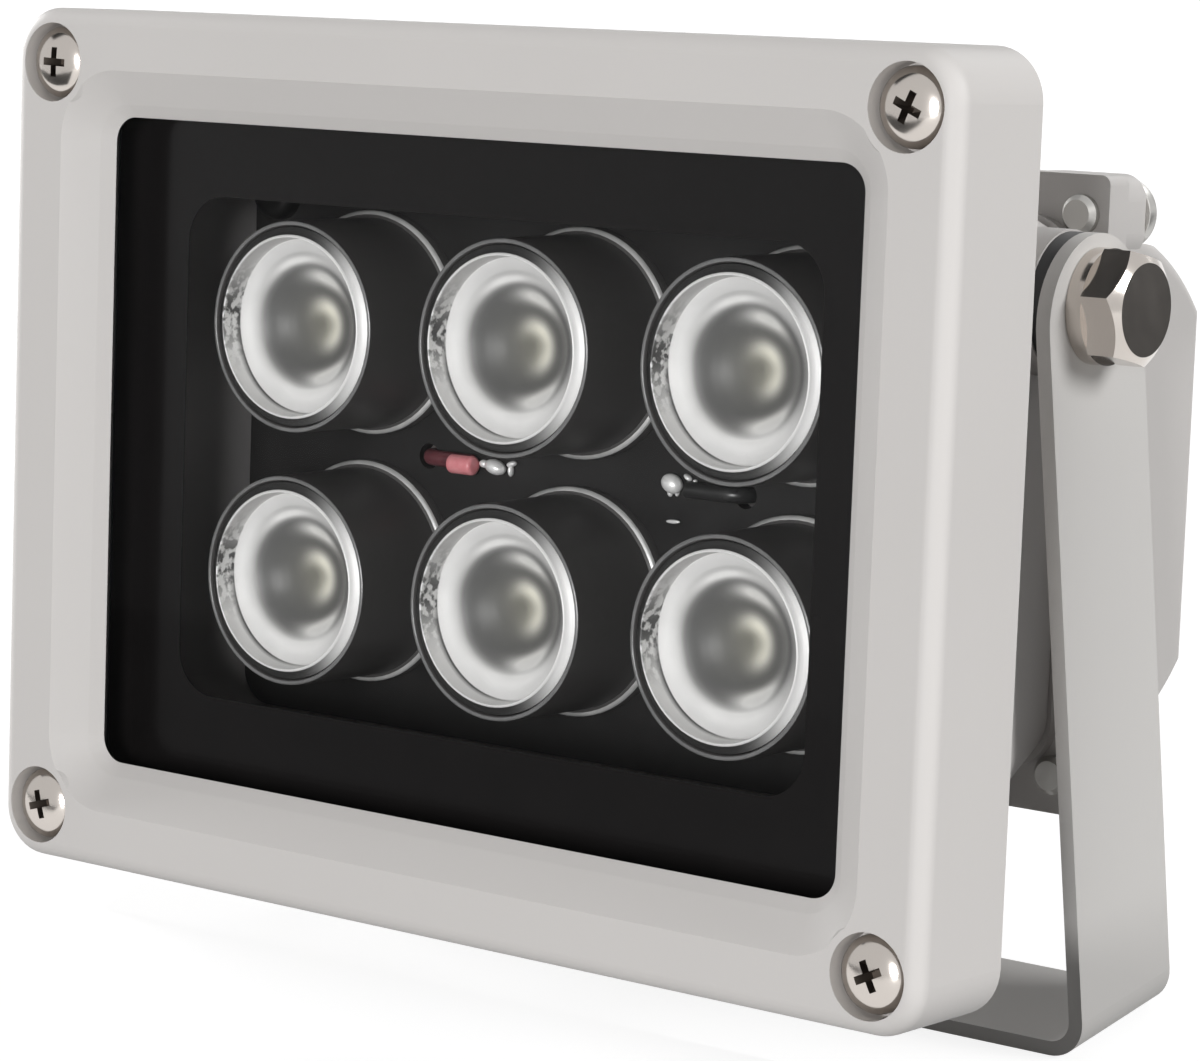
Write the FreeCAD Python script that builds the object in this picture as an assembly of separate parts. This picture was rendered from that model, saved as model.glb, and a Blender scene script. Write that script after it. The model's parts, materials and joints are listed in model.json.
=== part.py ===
import FreeCAD, Part
import math
import os

Vector = FreeCAD.Vector

# Infrared illuminator: a die-cast lamp head tilted between the legs of a U-bracket.
# The head is drawn in its own frame: origin at the middle of the bezel's front face,
# +X to the right, depth along +Y, +Z up. place_head() then hangs it on the pivot.
# The part's own frame has its origin at the middle of the bracket's underside.

# Bezel
bezel_width = 115.0
bezel_height = 87.3
bezel_depth = 13.3
bezel_corner = 5.0
bezel_edge_round = 1.8
bezel_wall = 3.0
side_band = 11.54
top_band = 10.67
slope_width = 3.4
slope_depth = 2.3
lip_width = 1.25
opening_corner = 2.6
bezel_screw_inset = 5.48
pad_top_radius = 4.7
pad_foot_radius = 6.4
counterbore_radius = 3.98
counterbore_depth = 3.0

# Glass and its gasket
glass_front_y = 3.3
glass_thickness = 4.0
glass_overlap = 3.6
glass_corner = 3.0
glass_play = 0.2
gasket_thickness = 1.0
gasket_width = 3.2

# Main housing
flange_thickness = 4.7
skirt_play = 0.2
flange_corner = 3.0
tub_inset_x = 10.0
tub_inset_z = 12.15
tub_corner = 6.0
tub_wall = 2.5
chamber_depth = 16.3
floor_thickness = 3.0
taper_length = 22.9
side_draft = 7.2
end_draft = 5.1
rear_corner = 5.0
rear_rim_length = 1.3
rear_rim_proud = 0.8
rear_flange_thickness = 3.4
rear_flange_step = 1.2

# Ears at the four rear corners, shared by housing and cover
ear_out_x = 3.0
ear_out_z = 3.9
ear_in_x = 9.0
ear_in_z = 4.4
ear_corner = 1.0
cover_ear_corner = 2.6
ear_screw_out_x = 0.7
ear_screw_out_z = 1.1
cover_ear_thickness = 3.4
stud_tip_out = 3.5

# Rear cover
cover_side_step = 2.0
cover_end_step = 0.5
cover_depth = 16.4
cover_bulge_y = 11.9
cover_bulge_z = 3.9
cover_back_fall = 8.1
cover_edge_round = 1.6
cover_wall = 2.6
cover_side_wall = 5.4
cover_back_inset = 0.5
cover_bulge_inset_y = 0.7
cover_bulge_inset_z = 0.2
rear_gasket_width = 1.8
rear_gasket_thickness = 1.2
rear_gasket_inset = 0.5

# Screws
m4_radius = 2.0
m3_radius = 1.5
hole_play = 0.2
thread_play = 0.05
bezel_head_radius = 3.6
bezel_head_height = 2.5
bezel_screw_length = 10.0
small_head_radius = 2.8
small_head_height = 2.0
cover_head_radius = 3.5
pan_round = 0.6
board_screw_bite = 2.2

# LED board, emitters, lenses
board_thickness = 1.6
board_play = 0.2
board_screw_inset = 3.5
lens_pitch_x = 27.4
lens_pitch_z = 25.66
holder_height = 13.6
holder_radius = 10.5
holder_mouth_play = 0.8
holder_foot_radius = 11.4
holder_foot_height = 1.5
holder_foot_run = 1.4
lens_seat_depth = 1.9
lens_seat_width = 0.75
lens_radius = 9.2
lens_play = 0.1
lens_sink = 0.6
lens_rear_radius = 4.2
lens_tail_y_gap = 2.4
lens_cup_radius = 3.0
lens_cup_depth = 4.2
lens_flank_bulge = 0.12
emitter_side = 3.6
emitter_height = 0.9
emitter_dome_radius = 1.3
emitter_corner = 0.3

# Leads between LED board and driver board
lead_x = 20.0
lead_z = -0.3
lead_radius = 0.8
lead_run = 6.4
lead_bend = 1.8
lead_hole_play = 0.5

# Driver board and what stands on it
standoff_height = 6.0
standoff_radius = 3.2
standoff_x = 26.0
standoff_z = 14.0
driver_half_x = 31.0
driver_half_z = 18.0
driver_thickness = 1.6
driver_screw_bite = 4.0
driver_corner = 2.0
inductor_radius = 6.5
inductor_neck = 4.0
inductor_height = 7.0
inductor_x = -14.0
inductor_z = 3.0
capacitor_radius = 4.0
capacitor_height = 9.5
capacitor_x = 4.0
capacitor_z = 6.0
capacitor_round = 0.6
terminal_x = 17.0
terminal_z = -9.0
terminal_pitch = 5.0
terminal_width = 8.0
terminal_height = 8.5
terminal_corner = 0.4
terminal_screw_radius = 1.6
terminal_screw_depth = 2.0
terminal_screw_z = 0.5
terminal_mouth_height = 3.4
terminal_mouth_depth = 3.0
terminal_mouth_lift = 1.2

# Cable gland, on the cover's underside
gland_boss_radius = 7.5
gland_boss_out = 2.1
gland_boss_in = 5.4
gland_thread_radius = 5.0
gland_flats = 12.5
gland_hex_height = 3.5
gland_barrel_length = 6.5
gland_bore_radius = 3.2
gland_cap_wall = 1.1
gland_cap_gap = 0.5
gland_cap_end = 2.2
gland_seal_length = 1.8
gland_seal_radius = 2.2
gland_thread_length = 7.0

# Pivot
pivot_y = 36.15
pivot_z = 19.7
pivot_bolt_radius = 3.0
pivot_hole_play = 0.1
pivot_boss_radius = 7.0
pivot_thread_floor = 0.8
pivot_slide_gap = 0.05
bolt_flats = 10.0
bolt_head_height = 3.8
bolt_head_chamfer = 1.0
bolt_face_radius = 4.4
bolt_length = 16.0
bolt_end_play = 0.5
bolt_turn_deg = 18.0
spring_washer_radius = 5.5
spring_washer_thickness = 1.6
spring_washer_gap = 1.0
spring_washer_turn_deg = 200.0
friction_washer_radius = 6.8
friction_washer_thickness = 1.55

# Bracket
leg_side_gap = 1.0
sheet = 1.5
leg_width = 16.4
bend_radius = 4.0
leg_top_above_pivot = 6.8
pivot_height = 73.1
base_hole_x = 31.5
base_hole_radius = 2.7
centre_hole_radius = 3.25
tilt_deg = 10.2

# Nearness at which two places count as one
near = 1e-6

# Places that follow from the sizes above
half_w = bezel_width / 2
half_h = bezel_height / 2
opening_x = half_w - side_band
opening_z = half_h - top_band
glass_x = opening_x + glass_overlap
glass_z = opening_z + glass_overlap
seat_y = glass_front_y + glass_thickness + gasket_thickness
flange_back_y = seat_y + flange_thickness
flange_x = half_w - bezel_wall - skirt_play
flange_z = half_h - bezel_wall - skirt_play
tub_half_x = half_w - tub_inset_x
tub_half_z = half_h - tub_inset_z
rear_half_x = tub_half_x - side_draft
rear_half_z = tub_half_z - end_draft
floor_y = seat_y + chamber_depth
floor_back_y = floor_y + floor_thickness
taper_end_y = floor_y + taper_length
housing_back_y = taper_end_y + rear_flange_thickness
rear_flange_x = rear_half_x + rear_flange_step
rear_flange_z = rear_half_z + rear_flange_step
ear_screw_x = rear_half_x + ear_screw_out_x
ear_screw_z = rear_half_z + ear_screw_out_z
cover_x = rear_flange_x + cover_side_step
cover_half_z = rear_half_z - cover_end_step
cover_rear_half_z = cover_half_z - cover_back_fall
cover_ear_back_y = housing_back_y + cover_ear_thickness
cover_back_y = housing_back_y + cover_depth
board_y = floor_y - board_thickness
holder_y = board_y - holder_height
driver_y = floor_back_y + standoff_height
driver_back_y = driver_y + driver_thickness
gland_y = housing_back_y + cover_depth / 2
gland_seat_z = cover_half_z + gland_boss_out
gland_pad_z = cover_half_z - gland_boss_in
bezel_screw_x = half_w - bezel_screw_inset
bezel_screw_z = half_h - bezel_screw_inset
leg_inner_x = tub_half_x + leg_side_gap
bracket_half_width = leg_inner_x + sheet
boss_x = leg_inner_x - pivot_slide_gap - friction_washer_thickness
spring_washer_x = bracket_half_width + pivot_slide_gap
bolt_seat_x = spring_washer_x + spring_washer_thickness
thread_end_x = bolt_seat_x - bolt_length - bolt_end_play
boss_end_x = thread_end_x - pivot_thread_floor


def rounded_wire(half_x, half_z, corner, y):
    """Rounded rectangle across the depth axis, at depth y."""
    nip = corner * (1 - math.sqrt(0.5))
    edges = []
    for sx, sz in ((1, 1), (-1, 1), (-1, -1), (1, -1)):
        on_side = Vector(sx * half_x, y, sz * (half_z - corner))
        on_end = Vector(sx * (half_x - corner), y, sz * half_z)
        mid = Vector(sx * (half_x - nip), y, sz * (half_z - nip))
        start, end = (on_side, on_end) if sx == sz else (on_end, on_side)
        if edges:
            edges.append(Part.LineSegment(edges[-1].EndPoint, start))
        edges.append(Part.Arc(start, mid, end))
    edges.append(Part.LineSegment(edges[-1].EndPoint, edges[0].StartPoint))
    return Part.Wire([edge.toShape() for edge in edges])


def plate(half_x, half_z, corner, y0, y1):
    """Flat block with rounded corners, from depth y0 to y1."""
    return Part.Face(rounded_wire(half_x, half_z, corner, y0)).extrude(Vector(0, y1 - y0, 0))


def tapered(front, back):
    """Straight-sided loft between two (half_x, half_z, corner, y) outlines."""
    return Part.makeLoft([rounded_wire(*front), rounded_wire(*back)], True, True)


def rod(radius, start, end):
    """Cylinder from point to point."""
    axis = end - start
    return Part.makeCylinder(radius, axis.Length, start, axis)


def along_y(radius, x, z, y0, y1):
    return rod(radius, Vector(x, y0, z), Vector(x, y1, z))


def hexagon(flats, start, end, turn_deg=0.0):
    """Hexagonal prism from point to point, turned about its axis."""
    axis = end - start
    radius = flats / math.sqrt(3)
    corners = []
    for step in range(7):
        angle = math.radians(60 * step + turn_deg)
        corners.append(Vector(radius * math.cos(angle), radius * math.sin(angle), 0))
    prism = Part.Face(Part.makePolygon(corners)).extrude(Vector(0, 0, axis.Length))
    prism.Placement = FreeCAD.Placement(start, FreeCAD.Rotation(Vector(0, 0, 1), axis))
    return prism


def turned(points, x=0.0, z=0.0):
    """Solid of revolution about the depth axis through (x, z), from (radius, y) points."""
    outline = [Vector(radius, y, 0) for radius, y in points]
    face = Part.Face(Part.makePolygon(outline + outline[:1]))
    solid = face.revolve(Vector(0, 0, 0), Vector(0, 1, 0), 360)
    solid.translate(Vector(x, 0, z))
    return solid


def four_corners(x, z):
    return [(sx * x, sz * z) for sx in (-1, 1) for sz in (-1, 1)]


def fuse(shapes):
    body = shapes[0]
    for shape in shapes[1:]:
        body = body.fuse(shape)
    body = body.removeSplitter()
    return body.Solids[0] if len(body.Solids) == 1 else body


def cut(body, tools):
    rest = body.cut(Part.makeCompound(tools))
    return rest.Solids[0] if len(rest.Solids) == 1 else rest


def edges_at_depth(shape, y):
    return [e for e in shape.Edges if all(abs(v.Y - y) < near for v in e.Vertexes)
            and abs(e.CenterOfMass.y - y) < near]


def pan_screw(radius, length, head_radius, head_height, x, z, seat, direction):
    """Pan-head screw whose head sits at depth seat and whose shank runs along direction."""
    top = seat - direction * head_height
    head = along_y(head_radius, x, z, seat, top)
    head = head.makeFillet(head_height * pan_round, edges_at_depth(head, top))
    return fuse([head, along_y(radius, x, z, seat, seat + direction * length)])


# Bezel: a cast frame whose face falls from a raised rim to the glass,
# with a level pad round each screw and a skirt that hides the housing's flange.
def front_bezel():
    block = plate(half_w, half_h, bezel_corner, 0, bezel_depth)
    block = block.makeFillet(bezel_edge_round, edges_at_depth(block, 0))
    lip_x = opening_x + lip_width
    lip_z = opening_z + lip_width
    lip_corner = opening_corner + lip_width
    ridge = (lip_x + slope_width, lip_z + slope_width, lip_corner + slope_width, 0)
    lip = (lip_x, lip_z, lip_corner, slope_depth)
    opening = (opening_x, opening_z, opening_corner, glass_front_y)
    slope = tapered(ridge, lip)
    pads = [Part.makeCone(pad_top_radius, pad_foot_radius, slope_depth,
                          Vector(x, 0, z), Vector(0, 1, 0))
            for x, z in four_corners(bezel_screw_x, bezel_screw_z)]
    throat = tapered(lip, opening)
    hollow = [slope.cut(Part.makeCompound(pads)), throat]
    hollow.append(plate(glass_x + glass_play, glass_z + glass_play, glass_corner,
                        glass_front_y, seat_y))
    hollow.append(plate(half_w - bezel_wall, half_h - bezel_wall,
                        flange_corner, seat_y, bezel_depth))
    for x, z in four_corners(bezel_screw_x, bezel_screw_z):
        hollow.append(along_y(counterbore_radius, x, z, 0, counterbore_depth))
        hollow.append(along_y(m4_radius + hole_play, x, z, 0, seat_y))
    return cut(block, hollow)


def bezel_screws():
    return Part.makeCompound([
        pan_screw(m4_radius, bezel_screw_length, bezel_head_radius, bezel_head_height,
                  x, z, counterbore_depth, 1)
        for x, z in four_corners(bezel_screw_x, bezel_screw_z)])


def front_glass():
    return plate(glass_x, glass_z, glass_corner, glass_front_y, glass_front_y + glass_thickness)


def glass_gasket():
    back = glass_front_y + glass_thickness
    ring = plate(glass_x, glass_z, glass_corner, back, seat_y)
    inner = plate(glass_x - gasket_width, glass_z - gasket_width, glass_corner, back, seat_y)
    return cut(ring, [inner])


# Main housing: flange, straight tub and tapered rear in one casting,
# with a floor between light chamber and rear chamber.
def ear(x, z, corner, y0, y1):
    """Lobe round one rear screw, reaching outward past the flange."""
    sx = math.copysign(1, x)
    sz = math.copysign(1, z)
    half_x = (ear_in_x + ear_out_x) / 2
    half_z = (ear_in_z + ear_out_z) / 2
    lobe = plate(half_x, half_z, corner, y0, y1)
    lobe.translate(Vector(x + sx * (ear_out_x - half_x), 0, z + sz * (ear_out_z - half_z)))
    return lobe


def housing_shell():
    flange = plate(flange_x, flange_z, flange_corner, seat_y, flange_back_y)
    tub = plate(tub_half_x, tub_half_z, tub_corner, seat_y, floor_y)
    taper = tapered((tub_half_x, tub_half_z, tub_corner, floor_y),
                    (rear_half_x, rear_half_z, rear_corner, taper_end_y))
    rim = plate(rear_half_x + rear_rim_proud, rear_half_z + rear_rim_proud,
                rear_corner, taper_end_y - rear_rim_length, taper_end_y)
    rear = plate(rear_flange_x, rear_flange_z, rear_corner, taper_end_y, housing_back_y)
    ears = [ear(x, z, ear_corner, taper_end_y, housing_back_y)
            for x, z in four_corners(ear_screw_x, ear_screw_z)]
    bosses = [rod(pivot_boss_radius, Vector(side * rear_half_x, pivot_y, pivot_z),
                  Vector(side * boss_x, pivot_y, pivot_z)) for side in (-1, 1)]
    return fuse([flange, tub, taper, rim, rear] + ears + bosses)


def main_housing():
    light_chamber = plate(tub_half_x - tub_wall, tub_half_z - tub_wall,
                          tub_corner - tub_wall, seat_y, floor_y)
    slope = (tub_half_x - rear_half_x) / taper_length
    fall = (tub_half_z - rear_half_z) / taper_length
    start = (tub_half_x - tub_wall - slope * floor_thickness,
             tub_half_z - tub_wall - fall * floor_thickness,
             tub_corner - tub_wall, floor_back_y)
    end = (rear_half_x - tub_wall, rear_half_z - tub_wall, rear_corner - tub_wall, taper_end_y)
    rear_chamber = tapered(start, end)
    mouth = plate(end[0], end[1], end[2], taper_end_y, housing_back_y)
    body = cut(housing_shell(), [light_chamber, rear_chamber, mouth])

    inner_bosses = [rod(pivot_boss_radius, Vector(side * boss_end_x, pivot_y, pivot_z),
                        Vector(side * (boss_x + boss_end_x) / 2, pivot_y, pivot_z))
                    for side in (-1, 1)]
    standoffs = [along_y(standoff_radius, x, z, floor_back_y, driver_y)
                 for x, z in four_corners(standoff_x, standoff_z)]
    body = fuse([body] + inner_bosses + standoffs)

    holes = [along_y(m4_radius + thread_play, x, z, seat_y, flange_back_y)
             for x, z in four_corners(bezel_screw_x, bezel_screw_z)]
    holes += [along_y(m3_radius + thread_play, x, z, taper_end_y, housing_back_y)
              for x, z in four_corners(ear_screw_x, ear_screw_z)]
    holes += [along_y(m3_radius + thread_play, x, z, driver_y - driver_screw_bite, driver_y)
              for x, z in four_corners(standoff_x, standoff_z)]
    holes += [along_y(m3_radius + thread_play, x, z, floor_y, floor_y + board_screw_bite)
              for x, z in board_screw_places()]
    holes += [along_y(lead_radius + lead_hole_play, side * lead_x, lead_z, floor_y, floor_back_y)
              for side in (-1, 1)]
    for side in (-1, 1):
        holes.append(rod(pivot_bolt_radius + thread_play, Vector(side * boss_x, pivot_y, pivot_z),
                         Vector(side * thread_end_x, pivot_y, pivot_z)))
    return cut(body, holes)


# Light chamber: board, emitters, holders and collimator lenses in two rows of three.
def board_half():
    return (tub_half_x - tub_wall - board_play, tub_half_z - tub_wall - board_play)


def board_screw_places():
    half_x, half_z = board_half()
    x = half_x - board_screw_inset
    z = half_z - board_screw_inset
    return [(-x, z), (x, z), (x, -z)]


def lens_places():
    return [(column * lens_pitch_x, row * lens_pitch_z / 2)
            for row in (1, -1) for column in (-1, 0, 1)]


def led_board():
    half_x, half_z = board_half()
    board = plate(half_x, half_z, tub_corner - tub_wall, board_y, floor_y)
    holes = [along_y(m3_radius + hole_play, x, z, board_y, floor_y)
             for x, z in board_screw_places()]
    holes += [along_y(lead_radius + lead_hole_play, side * lead_x, lead_z, board_y, floor_y)
              for side in (-1, 1)]
    return cut(board, holes)


def led_board_screws():
    return Part.makeCompound([
        pan_screw(m3_radius, board_thickness + board_screw_bite, small_head_radius,
                  small_head_height, x, z, board_y, 1) for x, z in board_screw_places()])


def led_emitters():
    emitters = []
    for x, z in lens_places():
        base = plate(emitter_side / 2, emitter_side / 2, emitter_corner,
                     board_y - emitter_height, board_y)
        dome = Part.makeSphere(emitter_dome_radius, Vector(0, board_y - emitter_height, 0),
                               Vector(0, -1, 0), 0, 90)
        chip = fuse([base, dome])
        chip.translate(Vector(x, 0, z))
        emitters.append(chip)
    return Part.makeCompound(emitters)


def lens_holder(x, z):
    """Black cup: a thin-walled cone on a foot ring, with a seat for the lens's flange."""
    bore = lens_radius + lens_play
    mouth = lens_radius + holder_mouth_play
    seat = holder_y + lens_sink + lens_seat_depth
    foot = board_y - holder_foot_height
    points = [(holder_radius, holder_y), (holder_foot_radius - holder_foot_run / 2, foot),
              (holder_foot_radius, foot), (holder_foot_radius, board_y),
              (bore, board_y), (bore, seat + lens_seat_width),
              (bore - lens_seat_width, seat + lens_seat_width), (bore - lens_seat_width, seat),
              (mouth, seat), (mouth, holder_y)]
    return turned(points, x, z)


def lens(x, z):
    """Collimator: a flanged disc in front, a curved cone behind and a cup for the emitter."""
    front = holder_y + lens_sink
    seat = front + lens_seat_depth
    tail = board_y - lens_tail_y_gap
    neck = lens_radius - lens_seat_width - lens_play
    mid_y = (seat + tail) / 2
    mid_r = (neck + lens_rear_radius) / 2 + (neck - lens_rear_radius) * lens_flank_bulge
    cup = tail - lens_cup_depth
    front_path = [Vector(0, front, 0), Vector(lens_radius, front, 0),
                  Vector(lens_radius, seat, 0), Vector(neck, seat, 0)]
    flank = Part.Arc(front_path[-1], Vector(mid_r, mid_y, 0), Vector(lens_rear_radius, tail, 0))
    rear_path = [flank.EndPoint, Vector(lens_cup_radius, tail, 0),
                 Vector(lens_cup_radius, cup, 0), Vector(0, cup, 0), Vector(0, front, 0)]
    edges = [Part.LineSegment(a, b).toShape() for a, b in zip(front_path, front_path[1:])]
    edges.append(flank.toShape())
    edges += [Part.LineSegment(a, b).toShape() for a, b in zip(rear_path, rear_path[1:])]
    solid = Part.Face(Part.Wire(edges)).revolve(Vector(0, 0, 0), Vector(0, 1, 0), 360)
    solid.translate(Vector(x, 0, z))
    return solid


def lead(side):
    """Insulated lead: along the board's face, round into its hole, straight to the driver."""
    y = board_y - lead_radius
    start = Vector(side * (lead_x - lead_run), y, lead_z)
    turn = Vector(side * (lead_x - lead_bend), y, lead_z)
    down = Vector(side * lead_x, y + lead_bend, lead_z)
    reach = lead_bend * (1 - math.sqrt(0.5))
    mid = Vector(side * (lead_x - reach), y + reach, lead_z)
    end = Vector(side * lead_x, driver_y, lead_z)
    path = Part.Wire([Part.LineSegment(start, turn).toShape(), Part.Arc(turn, mid, down).toShape(),
                      Part.LineSegment(down, end).toShape()])
    profile = Part.Wire([Part.Circle(start, Vector(side, 0, 0), lead_radius).toShape()])
    return path.makePipeShell([profile], True, True)


# Rear chamber: driver board on standoffs, its larger components behind it.
def driver_board():
    board = plate(driver_half_x, driver_half_z, driver_corner, driver_y, driver_back_y)
    return cut(board, [along_y(m3_radius + hole_play, x, z, driver_y, driver_back_y)
                       for x, z in four_corners(standoff_x, standoff_z)])


def driver_board_screws():
    return Part.makeCompound([
        pan_screw(m3_radius, driver_thickness + driver_screw_bite, small_head_radius,
                  small_head_height, x, z, driver_back_y, -1)
        for x, z in four_corners(standoff_x, standoff_z)])


def driver_inductor():
    lip = (inductor_height - inductor_neck) / 2
    y0 = driver_back_y
    y1 = y0 + inductor_height
    points = [(0, y0), (inductor_radius, y0), (inductor_radius, y0 + lip),
              (inductor_neck, y0 + lip), (inductor_neck, y1 - lip),
              (inductor_radius, y1 - lip), (inductor_radius, y1), (0, y1)]
    return turned(points, inductor_x, inductor_z)


def driver_capacitor():
    can = along_y(capacitor_radius, capacitor_x, capacitor_z,
                  driver_back_y, driver_back_y + capacitor_height)
    return can.makeFillet(capacitor_round, edges_at_depth(can, driver_back_y + capacitor_height))


def terminal_block():
    half_x = terminal_pitch
    y1 = driver_back_y + terminal_height
    block = plate(half_x, terminal_width / 2, terminal_corner, driver_back_y, y1)
    tools = []
    for x in (-terminal_pitch / 2, terminal_pitch / 2):
        tools.append(along_y(terminal_screw_radius, x, terminal_screw_z, y1 - terminal_screw_depth, y1))
        corner = Vector(x - terminal_screw_radius, driver_back_y + terminal_mouth_lift,
                        -terminal_width / 2)
        tools.append(Part.makeBox(2 * terminal_screw_radius, terminal_mouth_height,
                                  terminal_mouth_depth, corner))
    block = cut(block, tools)
    block.translate(Vector(terminal_x, 0, terminal_z))
    return block


# Rear cover: rounded box on a flat plate with four ears, gasket groove and gland boss.
def cover_profile(inset, y0):
    """Side view of the cover's box, an arc above and below a flat back."""
    half_z = cover_half_z - inset
    rear_z = cover_rear_half_z - inset * cover_back_inset
    back = cover_back_y - inset
    bulge = Vector(0, housing_back_y + cover_bulge_y - inset * cover_bulge_inset_y,
                   half_z - cover_bulge_z + inset * cover_bulge_inset_z)
    low_bulge = Vector(bulge.x, bulge.y, -bulge.z)
    straight = cover_ear_back_y
    edges = [
        Part.LineSegment(Vector(0, y0, -half_z), Vector(0, y0, half_z)),
        Part.LineSegment(Vector(0, y0, half_z), Vector(0, straight, half_z)),
        Part.Arc(Vector(0, straight, half_z), bulge, Vector(0, back, rear_z)),
        Part.LineSegment(Vector(0, back, rear_z), Vector(0, back, -rear_z)),
        Part.Arc(Vector(0, back, -rear_z), low_bulge, Vector(0, straight, -half_z)),
        Part.LineSegment(Vector(0, straight, -half_z), Vector(0, y0, -half_z)),
    ]
    return Part.Face(Part.Wire([edge.toShape() for edge in edges]))


def cover_block(half_x, inset, y0):
    face = cover_profile(inset, y0)
    face.translate(Vector(-half_x, 0, 0))
    return face.extrude(Vector(2 * half_x, 0, 0))


def gasket_ring(y0, y1, play):
    """Ring round the rear mouth; play widens it on both sides, for its groove."""
    half_x = rear_half_x - tub_wall + rear_gasket_inset
    half_z = rear_half_z - tub_wall + rear_gasket_inset
    corner = rear_corner - tub_wall + rear_gasket_inset
    outer = plate(half_x + rear_gasket_width + play, half_z + rear_gasket_width + play,
                  corner + rear_gasket_width + play, y0, y1)
    return cut(outer, [plate(half_x - play, half_z - play, corner - play, y0, y1)])


def rear_gasket():
    return gasket_ring(housing_back_y, housing_back_y + rear_gasket_thickness, 0)


def rear_cover():
    block = cover_block(cover_x, 0, housing_back_y)
    sharp = [e for e in block.Edges if abs(abs(e.CenterOfMass.x) - cover_x) < near
             and e.CenterOfMass.y > housing_back_y + cover_ear_thickness / 4]
    block = block.makeFillet(cover_edge_round, sharp).Solids[0]
    face = plate(cover_x, rear_flange_z, rear_corner, housing_back_y, cover_ear_back_y)
    ears = [ear(x, z, cover_ear_corner, housing_back_y, cover_ear_back_y)
            for x, z in four_corners(ear_screw_x, ear_screw_z)]
    outside = fuse([block, fuse([face] + ears)])
    body = cut(outside, [cover_block(cover_x - cover_side_wall, cover_wall, housing_back_y)])
    boss = rod(gland_boss_radius, Vector(0, gland_y, -gland_pad_z), Vector(0, gland_y, -gland_seat_z))
    body = fuse([body, boss])
    tools = [gasket_ring(housing_back_y, housing_back_y + rear_gasket_thickness, hole_play)]
    tools.append(rod(gland_thread_radius + thread_play, Vector(0, gland_y, -gland_pad_z),
                     Vector(0, gland_y, -gland_seat_z)))
    for x, z in four_corners(ear_screw_x, ear_screw_z):
        tools.append(along_y(m3_radius + hole_play, x, z, housing_back_y, cover_ear_back_y))
        tools.append(along_y(cover_head_radius + hole_play, x, z, cover_ear_back_y, cover_back_y))
    return cut(body, tools)


def rear_cover_screws():
    length = cover_ear_thickness + rear_flange_thickness + stud_tip_out
    return Part.makeCompound([
        pan_screw(m3_radius, length, cover_head_radius, small_head_height,
                  x, z, cover_ear_back_y, -1)
        for x, z in four_corners(ear_screw_x, ear_screw_z)])


# Cable gland, pointing down: body screwed into the boss, seal and cap below it.
def down(radius, z0, z1):
    return rod(radius, Vector(0, gland_y, -z0), Vector(0, gland_y, -z1))


def gland_body():
    hex_end = gland_seat_z + gland_hex_height
    collar = hexagon(gland_flats, Vector(0, gland_y, -gland_seat_z), Vector(0, gland_y, -hex_end))
    thread_end = gland_seat_z - gland_thread_length
    thread = down(gland_thread_radius, thread_end, gland_seat_z)
    barrel = down(gland_thread_radius, hex_end, hex_end + gland_barrel_length)
    body = fuse([thread, collar, barrel])
    return cut(body, [down(gland_bore_radius, thread_end, hex_end + gland_barrel_length)])


def gland_cap_span():
    start = gland_seat_z + gland_hex_height + gland_cap_gap
    seal_end = gland_seat_z + gland_hex_height + gland_barrel_length + gland_seal_length
    return start, seal_end


def gland_cap():
    start, seal_end = gland_cap_span()
    hexed = hexagon(gland_flats, Vector(0, gland_y, -start), Vector(0, gland_y, -seal_end))
    dome = Part.makeCone(gland_flats / 2, gland_bore_radius + gland_cap_wall, gland_cap_end,
                         Vector(0, gland_y, -seal_end), Vector(0, 0, -1))
    cap = fuse([hexed, dome])
    return cut(cap, [down(gland_thread_radius + thread_play, start, seal_end),
                     down(gland_bore_radius, seal_end, seal_end + gland_cap_end)])


def gland_seal():
    _, seal_end = gland_cap_span()
    ring = down(gland_thread_radius, seal_end - gland_seal_length, seal_end)
    return cut(ring, [down(gland_seal_radius, seal_end - gland_seal_length, seal_end)])


# Pivot: bolt, spring washer and friction washer on each side, on one axis.
def pivot_disc(radius, hole, side, x0, x1):
    start = Vector(side * x0, pivot_y, pivot_z)
    end = Vector(side * x1, pivot_y, pivot_z)
    disc = rod(radius, start, end)
    return cut(disc, [rod(hole, start, end)]) if hole else disc


def pivot_bolt(side):
    seat = Vector(side * bolt_seat_x, pivot_y, pivot_z)
    top_x = bolt_seat_x + bolt_head_height
    top = Vector(side * top_x, pivot_y, pivot_z)
    head = hexagon(bolt_flats, seat, top, bolt_turn_deg)
    corner = bolt_flats / math.sqrt(3)
    rise = bolt_head_height - bolt_head_chamfer
    crown = Part.makeCone(corner, bolt_face_radius, bolt_head_chamfer,
                          seat + Vector(side * rise, 0, 0), Vector(side, 0, 0))
    stem = rod(corner, seat, seat + Vector(side * rise, 0, 0))
    head = head.common(fuse([stem, crown]))
    shank = pivot_disc(pivot_bolt_radius, 0, side, bolt_seat_x - bolt_length, bolt_seat_x)
    return fuse([head, shank])


def spring_washer(side):
    """Split ring: its ends face each other across a narrow gap."""
    ring = pivot_disc(spring_washer_radius, pivot_bolt_radius + pivot_hole_play, side,
                      spring_washer_x, bolt_seat_x)
    gap = Part.makeBox(spring_washer_thickness, spring_washer_gap, spring_washer_radius,
                       Vector(0, -spring_washer_gap / 2, 0))
    gap.rotate(Vector(0, 0, 0), Vector(1, 0, 0), spring_washer_turn_deg)
    low_x = min(side * spring_washer_x, side * bolt_seat_x)
    gap.translate(Vector(low_x, pivot_y, pivot_z))
    return cut(ring, [gap])


def friction_washer(side):
    return pivot_disc(friction_washer_radius, pivot_bolt_radius + pivot_hole_play, side,
                      boss_x, boss_x + friction_washer_thickness)


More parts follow.
